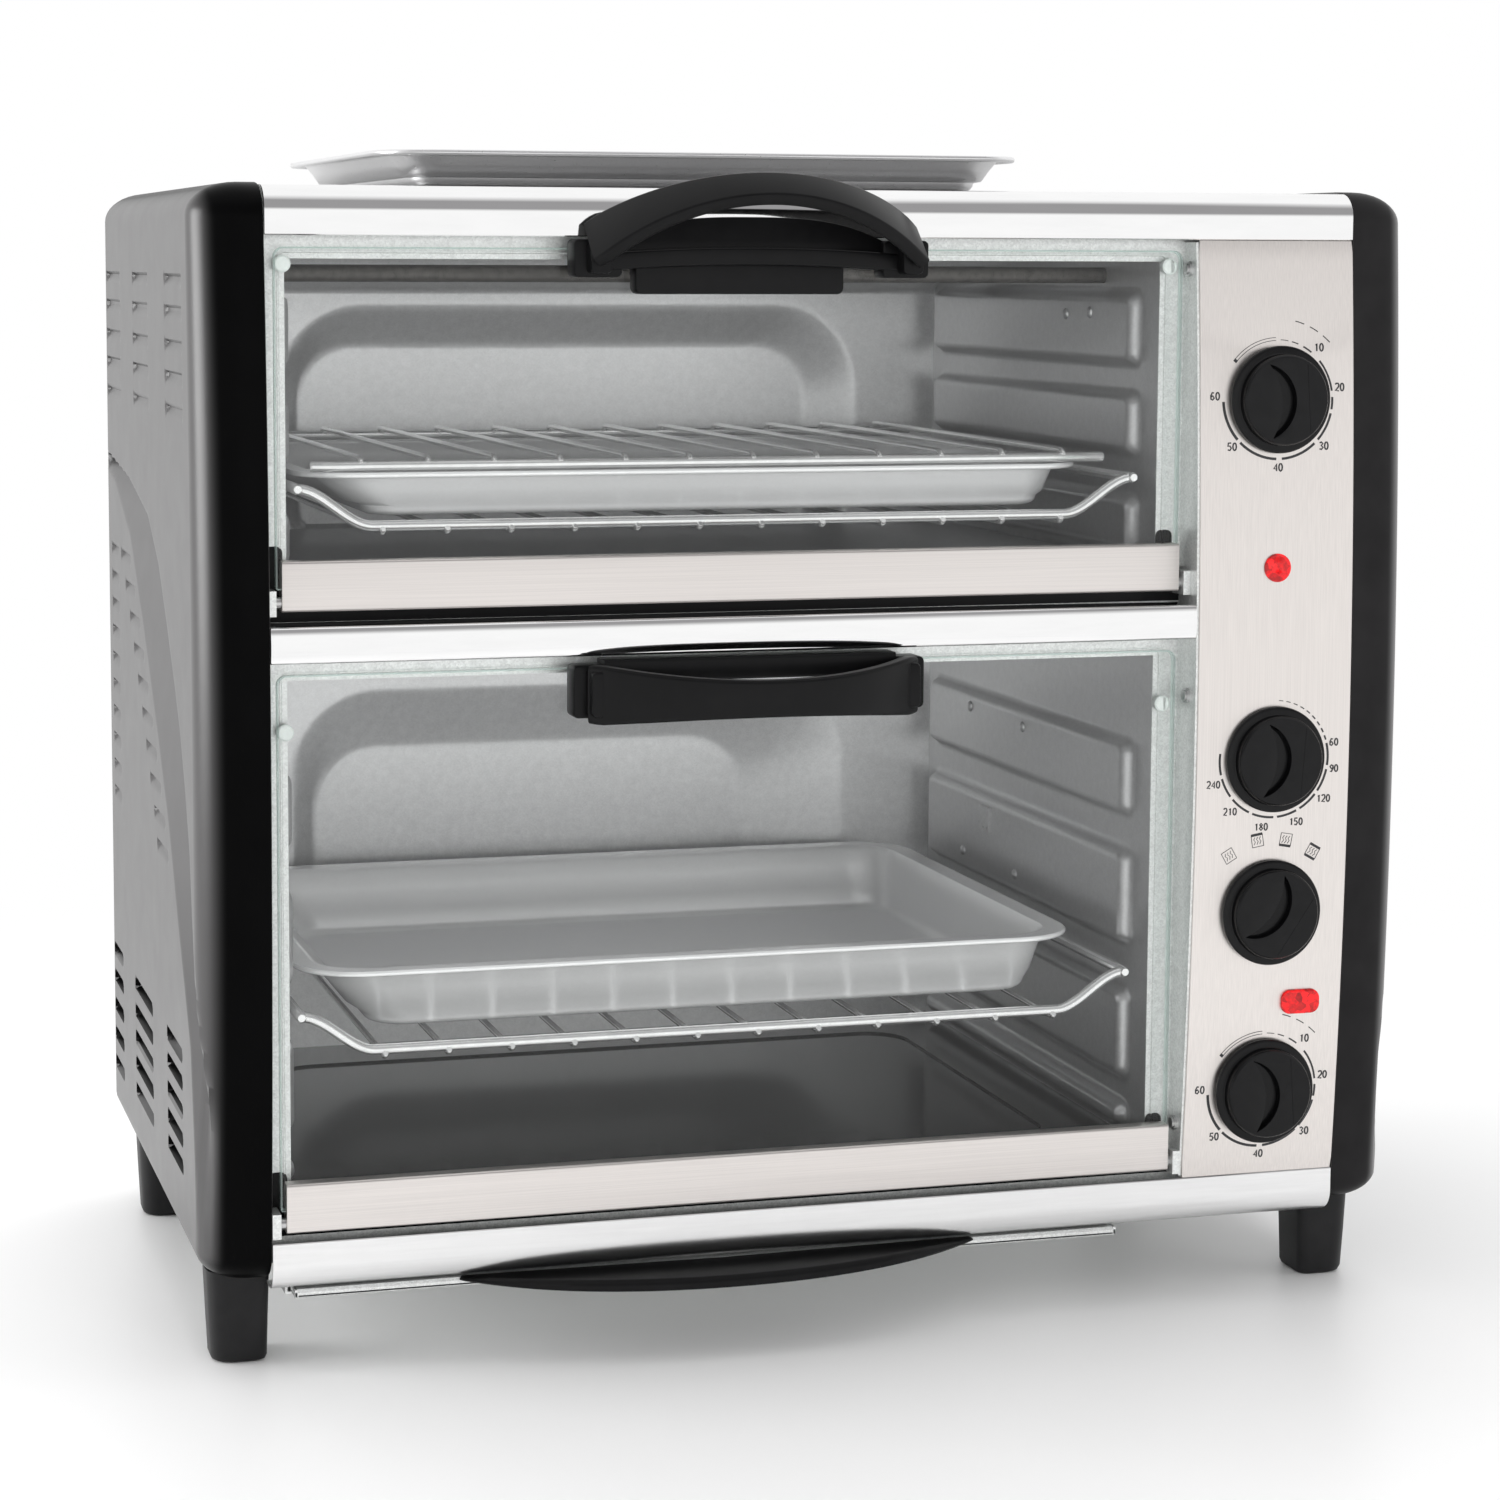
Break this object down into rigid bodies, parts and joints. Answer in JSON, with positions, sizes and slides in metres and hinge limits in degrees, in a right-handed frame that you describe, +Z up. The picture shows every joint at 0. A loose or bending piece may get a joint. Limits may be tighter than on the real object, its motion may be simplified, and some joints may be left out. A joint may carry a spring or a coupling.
{
  "type": "toaster oven",
  "caption": "Countertop toaster oven with two stacked cavities, a drop-down glass door on each, a control column, wire racks, baking trays and a pull-out crumb tray.",
  "frame": {"origin": "centre of the bounding box seen from above, on the floor plane under the feet", "axes": "+X across the front to the right when facing the doors, +Y from the front to the back, +Z up"},
  "size_m": [0.515, 0.353, 0.4868],
  "materials": {
    "cover": "graphite black satin",
    "top_sheet": "satin grey",
    "back_sheet": "galvanised satin",
    "galvanised": "speckled zinc",
    "cavity": "aluminised steel, dull",
    "enamel": "gloss enamel",
    "chrome": "polished",
    "stainless": "brushed vertically",
    "brushed_strip": "brushed along X",
    "black_plastic": "satin",
    "knob_plastic": "gloss",
    "heater": "dark oxide",
    "zinc_case": "zinc plated",
    "phenolic": "moulded phenolic",
    "lamp_lens": "translucent red",
    "steel": "satin",
    "door_glass": "clear",
    "clear_rubber": "clear soft",
    "wire_chrome": "plated wire",
    "tray_aluminium": "satin"
  },
  "bodies": {
    "case": {"left_side_cover": "cover", "right_side_cover": "cover", "top_panel": "top_sheet", "back_panel": "back_sheet", "base_pan": "galvanised", "front_frame": "galvanised", "left_liner": "cavity", "right_liner": "cavity", "back_liner": "cavity", "ceiling_liner": "cavity", "divider_liner": "cavity", "floor_liner": "enamel", "top_trim": "chrome", "middle_trim": "chrome", "bottom_trim": "chrome", "control_panel": "stainless", "front_left_foot": "black_plastic", "front_right_foot": "black_plastic", "rear_left_foot": "black_plastic", "rear_right_foot": "black_plastic", "upper_heaters": "heater", "lower_heaters": "heater", "upper_timer": "zinc_case", "thermostat": "zinc_case", "function_switch": "phenolic", "lower_timer": "zinc_case", "upper_lamp": "lamp_lens", "lower_lamp": "lamp_lens", "thermostat_probe": "steel", "hinge_brackets": "galvanised", "case_screws": "steel", "cord_gland": "black_plastic"},
    "upper_door": {"upper_door_glass": "door_glass", "upper_door_strip": "brushed_strip", "upper_door_pins": "steel", "upper_door_bumpers": "clear_rubber", "upper_handle_base": "black_plastic", "upper_handle_grip": "black_plastic"},
    "lower_door": {"lower_door_glass": "door_glass", "lower_door_strip": "brushed_strip", "lower_door_pins": "steel", "lower_door_bumpers": "clear_rubber", "lower_handle_base": "black_plastic", "lower_handle_grip": "black_plastic"},
    "upper_timer_control": {"upper_timer_knob": "knob_plastic", "upper_timer_shaft": "steel"},
    "thermostat_control": {"thermostat_knob": "knob_plastic", "thermostat_shaft": "steel"},
    "function_control": {"function_knob": "knob_plastic", "function_shaft": "steel"},
    "lower_timer_control": {"lower_timer_knob": "knob_plastic", "lower_timer_shaft": "steel"},
    "upper_rack_set": {"upper_rack": "wire_chrome", "grill_insert": "wire_chrome", "upper_tray": "tray_aluminium"},
    "lower_rack_set": {"lower_rack": "wire_chrome", "lower_tray": "tray_aluminium"},
    "top_tray_set": {"top_tray": "tray_aluminium"},
    "crumb_tray_set": {"crumb_tray": "galvanised", "crumb_handle": "black_plastic"}
  },
  "joints": [
    {"name": "upper_door_hinge", "type": "hinge", "parent": "case", "child": "upper_door", "pos_m": [0, -0.1275, 0.3095], "axis": [1, 0, 0], "range_deg": [0, 90], "stiffness_Nm_per_rad": 0.12, "springref_deg": -28.65},
    {"name": "lower_door_hinge", "type": "hinge", "parent": "case", "child": "lower_door", "pos_m": [0, -0.1275, 0.062], "axis": [1, 0, 0], "range_deg": [0, 90], "stiffness_Nm_per_rad": 0.25, "springref_deg": -28.65},
    {"name": "upper_rack_slide", "type": "slide", "parent": "case", "child": "upper_rack_set", "axis": [0, -1, 0], "range_m": [0, 0.061]},
    {"name": "lower_rack_slide", "type": "slide", "parent": "case", "child": "lower_rack_set", "axis": [0, -1, 0], "range_m": [0, 0.111]},
    {"name": "top_tray_lift", "type": "slide", "parent": "case", "child": "top_tray_set", "axis": [0, 0, 1], "range_m": [0, 0.15]},
    {"name": "crumb_tray_slide", "type": "slide", "parent": "case", "child": "crumb_tray_set", "axis": [0, -1, 0], "range_m": [0, 0.14]},
    {"name": "upper_timer_turn", "type": "hinge", "parent": "case", "child": "upper_timer_control", "pos_m": [0.19455, -0.1405, 0.386], "axis": [0, 1, 0], "range_deg": [0, 270]},
    {"name": "thermostat_turn", "type": "hinge", "parent": "case", "child": "thermostat_control", "pos_m": [0.19455, -0.1405, 0.235], "axis": [0, 1, 0], "range_deg": [0, 285]},
    {"name": "function_turn", "type": "hinge", "parent": "case", "child": "function_control", "pos_m": [0.19455, -0.1405, 0.1696], "axis": [0, 1, 0], "range_deg": [0, 90]},
    {"name": "lower_timer_turn", "type": "hinge", "parent": "case", "child": "lower_timer_control", "pos_m": [0.19455, -0.1405, 0.092], "axis": [0, 1, 0], "range_deg": [0, 270]}
  ],
  "couplings": [
    {"joint": "upper_rack_slide", "follows": "upper_door_hinge", "m_per_rad": 0.0382},
    {"joint": "lower_rack_slide", "follows": "lower_door_hinge", "m_per_rad": 0.07}
  ]
}
